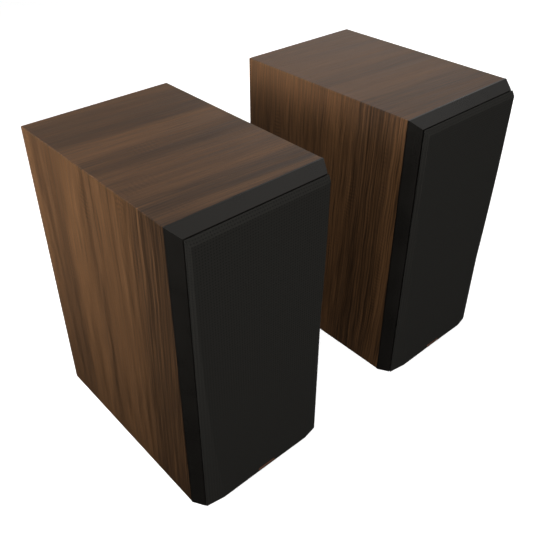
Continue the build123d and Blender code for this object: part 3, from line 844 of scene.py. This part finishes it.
def binding_posts(side, material):
    """Two studs with fine threads, a socket in the end of each, a wire hole and a base flange,
    and the nuts that hold them from inside."""
    node = side + "_binding_posts"
    low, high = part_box(node)
    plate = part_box(side + "_terminal_plate")[1].y
    centre_x, centre_z = measured(side + "_terminal_plate")[2]
    radius, pitch, tooth = 0.0040, 0.0008, 0.00028
    base_flat, base, base_thick = 0.0061, 0.0065, 0.002
    socket, socket_mouth, socket_deep = 0.0020, 0.0023, 0.0155
    hole, hole_from_plate = 0.0013, 0.0037
    nut_flat, nut, nut_thick, nut_start = 0.0072, 0.0078, 0.0032, low.y + 0.006

    def thread(first, last):
        """Teeth from y = first on, as many as start before y = last."""
        teeth = []
        for k in range(math.ceil((last - first) / pitch)):
            y = first + pitch * k
            teeth += [(radius - tooth, y), (radius, y + pitch / 2)]
        return teeth

    profile = [(0.0, low.y), (radius - tooth, low.y)]
    profile += thread(low.y + pitch, plate - 0.004)
    profile += [(radius, plate), (base_flat, plate), (base, plate + 0.0004),
                (base, plate + base_thick - 0.0004), (base_flat, plate + base_thick),
                (radius, plate + base_thick)]
    profile += thread(plate + 0.0052, high.y - 0.0012)
    profile += [(radius - 0.0005, high.y), (socket_mouth, high.y), (socket, high.y - 0.0004),
                (socket, high.y - socket_deep), (0.0, high.y - socket_deep - 0.0008)]
    nut_profile = [(radius, nut_start), (nut_flat, nut_start), (nut, nut_start + 0.0005),
                   (nut, nut_start + nut_thick - 0.0005), (nut_flat, nut_start + nut_thick),
                   (radius, nut_start + nut_thick)]
    bm = bmesh.new()
    for x in (centre_x - POST_PITCH / 2, centre_x + POST_PITCH / 2):
        wire_hole = bmesh.new()
        bmesh.ops.create_cone(wire_hole, cap_ends=True, segments=32, radius1=hole, radius2=hole,
                              depth=0.02,
                              matrix=Matrix.Translation((x, plate + hole_from_plate, centre_z)))
        merge(bm, carve(lathe(profile, (x, centre_z), 48, closed=False), wire_hole))
        merge(bm, lathe(nut_profile, (x, centre_z), 6))
    piece = add_piece(side + "_threaded_posts", bm, [material], 30)
    place(piece, side + "_speaker", "post_metal", node)


# ---- Inside ----

def crossover(side, materials):
    """The filter board, whose parts each take their own finish."""
    node = side + "_crossover"
    piece = refined(node, side + "_speaker", "circuit", materials["board"], 0.0005)
    for name in ("copper", "film", "ceramic", "nylon"):
        piece.data.materials.append(materials[name])
    bm = bmesh.new()
    bm.from_mesh(piece.data)
    for island in islands(bm):
        points = [v.co for face in island for v in face.verts]
        width, depth, _ = (max(p[k] for p in points) - min(p[k] for p in points)
                           for k in range(3))
        # The parts are told apart by their sizes: the board, round coils, thin standoffs, narrow
        # resistors, and capacitors
        if width > 0.08:
            index = 0
        elif abs(width - depth) < 0.002 and width > 0.02:
            index = 1
        elif width < 0.0075:
            index = 4
        elif width < 0.0095:
            index = 3
        else:
            index = 2
        for face in island:
            face.material_index = index
    bm.to_mesh(piece.data)
    bm.free()


def wadding(side, material):
    """A fluffy sheet folded against both side walls and the top, thinner towards its edges."""
    node = side + "_wadding"
    low, high, (x, _), half = measured(node)
    thick, cell, gap, corner_reach = 0.012, 0.009, 0.0005, 0.014
    side_x, top = half - gap, high.z - gap
    legs = [(-side_x, low.z), (-side_x, top), (side_x, top), (side_x, low.z)]
    runs = [math.dist(a, b) for a, b in zip(legs, legs[1:])]
    total = sum(runs)
    columns, rows = round(total / cell), round((high.y - low.y) / cell)
    bm = bmesh.new()
    grids = ([], [])
    for i in range(columns + 1):
        run = total * i / columns
        leg = 0
        while leg < 2 and run > runs[leg]:
            run -= runs[leg]
            leg += 1
        a, b = Vector(legs[leg]), Vector(legs[leg + 1])
        point = a.lerp(b, min(1.0, run / runs[leg]))
        inward = [Vector((1, 0)), Vector((0, -1)), Vector((-1, 0))][leg]
        corner = min((point - Vector(legs[1])).length, (point - Vector(legs[2])).length)
        if corner < corner_reach:
            sideways = 1 if point.x < 0 else -1
            inward = inward.lerp(Vector((sideways, -1)) * 0.75, 1 - corner / corner_reach)
        # The face against the walls is a little lumpy, and the other one swells away from it
        lines = ([], [])
        for j in range(rows + 1):
            y = low.y + (high.y - low.y) * j / rows
            edge = min(i, columns - i, j, rows - j)
            swell = 0.35 + 0.5 * min(1.0, edge / 3) + 0.13 * noise.noise((run * 60, y * 60, leg * 3.0))
            lump = 0.0006 * (1 + noise.noise((run * 90, y * 90, 7.0 + leg)))
            for line, step in zip(lines, (inward * lump, inward * thick * min(0.97, swell))):
                spot = point + step
                line.append(bm.verts.new((x + spot.x, y, spot.y)))
        for grid, line in zip(grids, lines):
            grid.append(line)
    for grid in grids:
        for i in range(columns):
            for j in range(rows):
                bm.faces.new([grid[i][j], grid[i + 1][j], grid[i + 1][j + 1], grid[i][j + 1]])
    edge = [(i, 0) for i in range(columns)] + [(columns, j) for j in range(rows)]
    edge += [(i, rows) for i in range(columns, 0, -1)] + [(0, j) for j in range(rows, 0, -1)]
    for (i, j), (m, n) in zip(edge, edge[1:] + edge[:1]):
        bm.faces.new([grids[0][i][j], grids[0][m][n], grids[1][m][n], grids[1][i][j]])
    bmesh.ops.recalc_face_normals(bm, faces=bm.faces)
    piece = add_piece(side + "_fibre_sheet", bm, [material], 80)
    place(piece, side + "_speaker", "wadding", node)


# ---- The loudspeakers ----

wood_low, wood_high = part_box("left_cabinet_sides")
SIDE_RUN = wood_high.z - wood_low.z
WOOD_DEPTH = wood_high.y - wood_low.y
WALNUT_TONES = [(0.0, (0.030, 0.0146, 0.0060)), (0.3, (0.061, 0.0292, 0.0115)),
                (0.6, (0.102, 0.0478, 0.0182)), (1.0, (0.161, 0.0770, 0.0300))]
PORE_BROWN = (0.012, 0.007, 0.004)
EYELET_BLACK = (0.005, 0.0048, 0.0042)
foil = {
    "left": walnut(
        "walnut_left", 4.0,
        [(0.00, 0.34), (0.10, 0.36), (0.17, 0.48), (0.24, 0.60), (0.42, 0.60), (0.50, 0.48),
         (0.56, 0.62), (0.66, 0.66), (0.74, 0.44), (0.90, 0.42), (0.95, 0.62), (1.00, 0.58)],
        # The top's bands: its own figure, with painted shade in their tones
        [(0.00, 0.32), (0.05, 0.56), (0.09, 0.28), (0.17, 0.38), (0.21, 0.57), (0.28, 0.44),
         (0.36, 0.56), (0.44, 0.34), (0.54, 0.38), (0.58, 0.66), (0.68, 0.62), (0.73, 0.28),
         (0.93, 0.38), (1.00, 0.50)],
        0.20),
    "right": walnut(
        "walnut_right", 9.0,
        [(0.00, 0.72), (0.04, 0.64), (0.08, 0.42), (0.24, 0.38), (0.30, 0.54), (0.36, 0.58),
         (0.42, 0.72), (0.47, 0.46), (0.56, 0.56), (0.76, 0.54), (0.84, 0.42), (0.90, 0.54),
         (1.00, 0.52)],
        # The top's bands: its own figure, with painted shade in their tones
        [(0.00, 0.62), (0.04, 0.50), (0.24, 0.46), (0.28, 0.64), (0.44, 0.62), (0.47, 0.46),
         (0.54, 0.48), (0.60, 0.60), (0.78, 0.62), (0.82, 0.54), (1.00, 0.56)],
        0.26),
}
raw_board = grained("raw_fibreboard", (0.20, 0.13, 0.075), 0.85, 0.0009, 0.0001)
satin_black = grained("satin_black_paint", (0.0084, 0.0076, 0.0066), 0.28, 0.0005, 0.00003,
                      Specular_IOR_Level=0.36, Specular_Tint=(1.0, 0.96, 0.91))
rear_vinyl = grained("rear_black_vinyl", (0.011, 0.011, 0.011), 0.6, 0.0011, 0.00012)
frame_plastic = grained("grille_frame_plastic", (0.010, 0.010, 0.010), 0.5, 0.0007, 0.00006)
cloth = speaker_cloth()
copper = brushed("badge_copper", (0.30, 0.145, 0.095), 0.46, (1, 1, 14))
nickel = brushed("magnet_nickel", (0.55, 0.54, 0.52), 0.3)
basket_paint = grained("basket_black_paint", (0.012, 0.012, 0.0125), 0.38, 0.0008, 0.00005)
cap_polymer = grained("dust_cap_polymer", (0.014, 0.014, 0.015), 0.34, 0.0006, 0.00002)
rubber = grained("surround_rubber", (0.012, 0.0118, 0.0115), 0.58, 0.0004, 0.00003)
waveguide_plastic = grained("waveguide_plastic", (0.010, 0.010, 0.010), 0.46, 0.0005, 0.00003)
screw_steel = brushed("black_oxide_screws", (0.05, 0.05, 0.052), 0.36)
port_plastic = grained("port_plastic", (0.010, 0.010, 0.010), 0.44, 0.0007, 0.00005)
terminal_plastic = grained("terminal_plastic", (0.011, 0.011, 0.011), 0.40, 0.0006, 0.00004)
post_metal = brushed("post_metal", (0.62, 0.50, 0.30), 0.26)
collar_red = grained("red_collar_plastic", (0.30, 0.012, 0.010), 0.35, 0.0008, 0.00002, 0.12)
collar_black = grained("black_collar_plastic", (0.012, 0.012, 0.012), 0.35, 0.0008, 0.00002)
motor_steel = grained("motor_black_zinc", (0.035, 0.034, 0.033), 0.36, 0.0010, 0.00004, Metallic=0.8)
spider_cloth = grained("spider_resin_cloth", (0.26, 0.15, 0.05), 0.75, 0.0006, 0.0001)
coil_wire = brushed("voice_coil_wire", (0.62, 0.30, 0.16), 0.35, (0.2, 6, 0.2))
lead_vinyl = grained("lead_insulation", (0.016, 0.016, 0.017), 0.42, 0.0009, 0.00002)
fibre = grained("polyester_wadding", (0.70, 0.69, 0.66), 0.95, 0.0016, 0.0009, 0.08)
board_finishes = {
    "board": grained("circuit_board", (0.016, 0.085, 0.030), 0.42, 0.0012, 0.00002),
    "copper": brushed("inductor_wire", (0.60, 0.27, 0.13), 0.32, (0.3, 0.3, 5)),
    "film": grained("capacitor_sleeve", (0.020, 0.030, 0.080), 0.35, 0.0015, 0.00003),
    "ceramic": grained("resistor_ceramic", (0.62, 0.60, 0.55), 0.75, 0.0008, 0.00006, 0.06),
    "nylon": grained("standoff_nylon", (0.66, 0.65, 0.60), 0.5, 0.0010, 0.00003, 0.05),
}
cone_weave = woven("cone_weave", 0.0024, (0.010, 0.010, 0.011), (0.034, 0.034, 0.036), 0.40, 0.00010)
dome_silk = woven("dome_silk", 0.0006, (0.008, 0.008, 0.009), (0.022, 0.022, 0.025), 0.55, 0.00003)

for side in SIDES:
    speaker, grille = side + "_speaker", side + "_grille"
    cabinet_wrap(side, foil[side], raw_board)
    refined(side + "_front_baffle", speaker, "black_board", satin_black)
    refined(side + "_rear_panel", speaker, "rear_board", rear_vinyl)
    refined(side + "_grille_frame", grille, "frame_plastic", frame_plastic, 0.0003)
    refined(side + "_grille_magnets", grille, "magnet_steel", nickel)
    refined(side + "_baffle_magnets", speaker, "magnet_steel", nickel)
    grille_cloth(side, cloth)
    grille_badge(side, copper)
    refined(side + "_woofer_basket", speaker, "basket", basket_paint)
    woofer_cone(side, cone_weave)
    dust_cap(side, cap_polymer)
    surround(side, rubber)
    waveguide(side, waveguide_plastic)
    tweeter_dome(side, dome_silk)
    panel_screws(side, screw_steel)
    port(side, port_plastic)
    refined(side + "_terminal_plate", speaker, "terminal_plate", terminal_plastic, 0.0005)
    binding_posts(side, post_metal)
    for colour, plastic in (("red", collar_red), ("black", collar_black)):
        slot = colour + "_plastic"
        refined(f"{side}_collar_{colour}", f"{side}_collar_{colour}", slot, plastic, 0.0003)
        refined(f"{side}_cap_{colour}", f"{side}_cap_{colour}", slot, plastic, 0.00025)
    crossover(side, board_finishes)
    wadding(side, fibre)
    for name, material in (("woofer_motor", motor_steel), ("tweeter_motor", motor_steel),
                           ("woofer_spider", spider_cloth), ("woofer_coil", coil_wire),
                           ("wiring", lead_vinyl)):
        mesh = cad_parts[f"{side}_{name}"].data
        mesh.materials.clear()
        mesh.materials.append(material)

# ---- Stage ----

def backdrop():
    """A wide pale bowl: a flat floor whose edge sweeps up into a wall. It takes shadows, and throws
    no light back at the loudspeakers."""
    paint = Paint("pale_floor", Roughness=0.9, Specular_IOR_Level=0.1,
                  Emission_Color=(1, 1, 1), Emission_Strength=0.72)
    grain = paint.noise(paint.point(), 3.0, 2.0)
    paint.set(Base_Color=paint.ramp(grain, [(0.3, 0.80), (0.7, 0.82)]))
    floor_radius, sweep, wall_height, steps = 6.0, 2.5, 4.0, 12
    profile = [(0.0, 0.0), (floor_radius / 2, 0.0), (floor_radius, 0.0)]
    for k in range(1, steps + 1):
        a = math.pi / 2 * k / steps
        profile.append((floor_radius + sweep * math.sin(a), sweep * (1 - math.cos(a))))
    profile.append((floor_radius + sweep, sweep + wall_height))
    bm = lathe(profile, (0.0, 0.0), 64, closed=False)
    bm.transform(Matrix.Translation((0, 0, cad_low.z - 0.0002)) @ Matrix.Rotation(math.pi / 2, 4, "X"))
    bmesh.ops.recalc_face_normals(bm, faces=bm.faces)
    bmesh.ops.reverse_faces(bm, faces=bm.faces)
    piece = add_piece("backdrop", bm, [paint.material], 80)
    piece.visible_diffuse = False
    piece.visible_glossy = False
    piece.visible_shadow = False


def studio_world():
    """Soft light all round: brightest near the horizon, and dark underneath."""
    world = bpy.data.worlds.new("studio")
    scene.world = world
    world.use_nodes = True
    sky = Tree(world.node_tree)
    up = sky.split(sky.node("TexCoord", {}))[2]
    level = sky.node("MapRange", {"Value": up, "From Min": -1.0})
    greys = [(0.0, 0.0), (0.12, 0.0), (0.40, 0.04), (0.5, 0.20), (0.68, 0.31), (1.0, 0.17)]
    sky.put(sky.tree.nodes["Background"].inputs[0], sky.ramp(level, greys))


def area_light(name, position, target, size, power, spread=180):
    """A rectangular lamp at a position, turned to its target; spread is in degrees."""
    lamp = bpy.data.lights.new(name, "AREA")
    lamp.shape = "RECTANGLE"
    lamp.size, lamp.size_y = size
    lamp.energy = power
    lamp.spread = math.radians(spread)
    lit = bpy.data.objects.new(name, lamp)
    lit.location = position
    lit.rotation_euler = (Vector(target) - Vector(position)).to_track_quat("-Z", "Y").to_euler()
    scene.collection.objects.link(lit)


def camera():
    """The camera looks down at the pair from the front left."""
    data = bpy.data.cameras.new("camera")
    data.lens, data.sensor_width = 46.14, 36.0
    data.shift_x, data.shift_y = -0.0028, -0.0222
    data.clip_start, data.clip_end = 0.01, 50.0
    eye = bpy.data.objects.new("camera", data)
    yaw, pitch = math.radians(41.68), math.radians(35.20)
    forward = Vector((math.sin(yaw) * math.cos(pitch), math.cos(yaw) * math.cos(pitch),
                      -math.sin(pitch)))
    eye.location = (-0.5425, -0.5835, 0.7303)
    eye.rotation_euler = forward.to_track_quat("-Z", "Y").to_euler()
    scene.collection.objects.link(eye)
    scene.camera = eye


backdrop()
camera()
studio_world()
area_light("key", (-1.45, 0.00, 0.84), (-0.28, 0.27, 0.60), (0.6, 0.9), 3.6, 40)
area_light("high left", (-1.00, 0.20, 1.75), (-0.02, 0.0, 0.35), (1.4, 1.4), 6.6)
area_light("front", (-0.80, -1.90, 1.15), (0.12, -0.10, 0.34), (1.8, 1.1), 10.1, 90)
area_light("ceiling", (0.9, -0.3, 1.9), (-0.05, 0, 0.3), (1.6, 1.6), 3.5)
area_light("rear fill", (1.70, 1.30, 1.10), (0.17, 0.0, 0.40), (1.4, 0.8), 2.1)
scene.view_settings.view_transform = "Standard"
